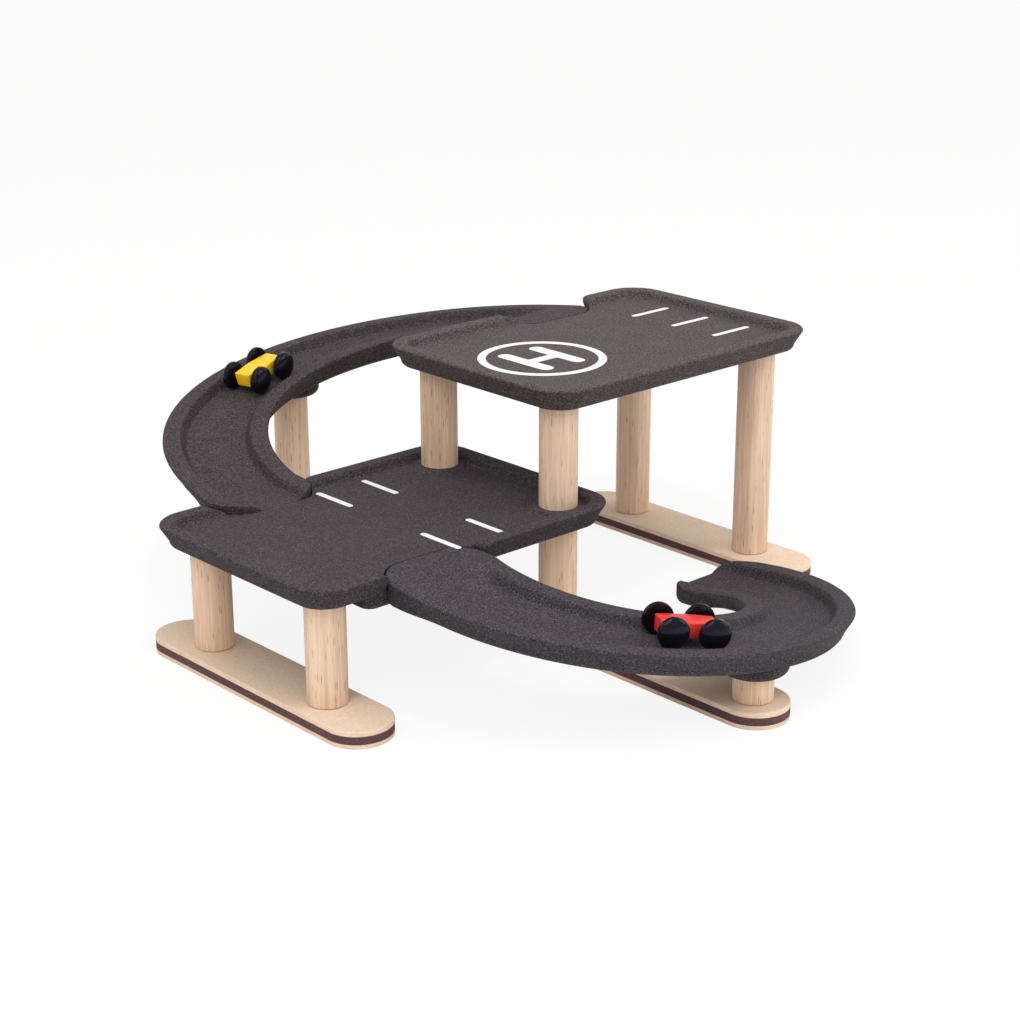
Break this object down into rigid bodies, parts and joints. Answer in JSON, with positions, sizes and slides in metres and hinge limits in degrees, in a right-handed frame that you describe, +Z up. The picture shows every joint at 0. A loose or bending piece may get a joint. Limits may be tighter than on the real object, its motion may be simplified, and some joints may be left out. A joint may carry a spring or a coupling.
{
  "type": "toy parking garage",
  "caption": "Wooden toy parking garage with dished decks on round posts, joined by curved trough ramps, with loose wooden cars on rolling wheels.",
  "frame": {"origin": "on the floor, under the middle of the garage's bounding box", "axes": "+Z up; +X from the lower deck to the upper deck; +Y to the side where the upper ramp swings out"},
  "size_m": [0.4866, 0.5672, 0.195],
  "materials": {
    "charcoal_composite": "matte, speckled compressed wood",
    "pale_wood": "sanded, clear matte oil",
    "pale_ply": "matte, fine speckle",
    "dark_core": "matte, stained",
    "yellow_paint": "satin paint on wood",
    "red_paint": "satin paint on wood",
    "black_gloss": "glossy",
    "steel": "plain drawn rod"
  },
  "bodies": {
    "garage": {"left_base_bottom_ply": "pale_ply", "left_base_core": "dark_core", "left_base_top_ply": "pale_ply", "middle_base_bottom_ply": "pale_ply", "middle_base_core": "dark_core", "middle_base_top_ply": "pale_ply", "right_base_bottom_ply": "pale_ply", "right_base_core": "dark_core", "right_base_top_ply": "pale_ply", "left_front_post": "pale_wood", "left_back_post": "pale_wood", "middle_front_lower_post": "pale_wood", "middle_back_lower_post": "pale_wood", "middle_front_upper_post": "pale_wood", "middle_back_upper_post": "pale_wood", "right_front_post": "pale_wood", "right_back_post": "pale_wood", "tall_ramp_post": "pale_wood", "short_ramp_post": "pale_wood", "lower_deck": "charcoal_composite", "upper_deck": "charcoal_composite", "lower_ramp": "charcoal_composite", "upper_ramp": "charcoal_composite"},
    "yellow_car": {"yellow_car_body": "yellow_paint"},
    "yellow_car_front_wheels": {"yellow_car_front_axle": "steel", "yellow_car_front_left_wheel": "black_gloss", "yellow_car_front_right_wheel": "black_gloss"},
    "yellow_car_rear_wheels": {"yellow_car_rear_axle": "steel", "yellow_car_rear_left_wheel": "black_gloss", "yellow_car_rear_right_wheel": "black_gloss"},
    "red_car": {"red_car_body": "red_paint"},
    "red_car_front_wheels": {"red_car_front_axle": "steel", "red_car_front_left_wheel": "black_gloss", "red_car_front_right_wheel": "black_gloss"},
    "red_car_rear_wheels": {"red_car_rear_axle": "steel", "red_car_rear_left_wheel": "black_gloss", "red_car_rear_right_wheel": "black_gloss"}
  },
  "joints": [
    {"name": "yellow_car_lift", "type": "slide", "parent": "garage", "child": "yellow_car", "axis": [0, 0, 1], "range_m": [0, 0.05]},
    {"name": "yellow_car_front_roll", "type": "hinge", "parent": "yellow_car", "child": "yellow_car_front_wheels", "pos_m": [-0.05335, 0.23681, 0.14265], "axis": [0.2586, -0.966, 0], "continuous": true},
    {"name": "yellow_car_rear_roll", "type": "hinge", "parent": "yellow_car", "child": "yellow_car_rear_wheels", "pos_m": [-0.0251, 0.24437, 0.14782], "axis": [0.2586, -0.966, 0], "continuous": true},
    {"name": "red_car_lift", "type": "slide", "parent": "garage", "child": "red_car", "axis": [0, 0, 1], "range_m": [0, 0.05]},
    {"name": "red_car_front_roll", "type": "hinge", "parent": "red_car", "child": "red_car_front_wheels", "pos_m": [-0.0329, -0.23976, 0.06847], "axis": [0.4217, 0.9067, -0.0024], "continuous": true},
    {"name": "red_car_rear_roll", "type": "hinge", "parent": "red_car", "child": "red_car_rear_wheels", "pos_m": [-0.05942, -0.22741, 0.07362], "axis": [0.4217, 0.9067, -0.0024], "continuous": true}
  ]
}
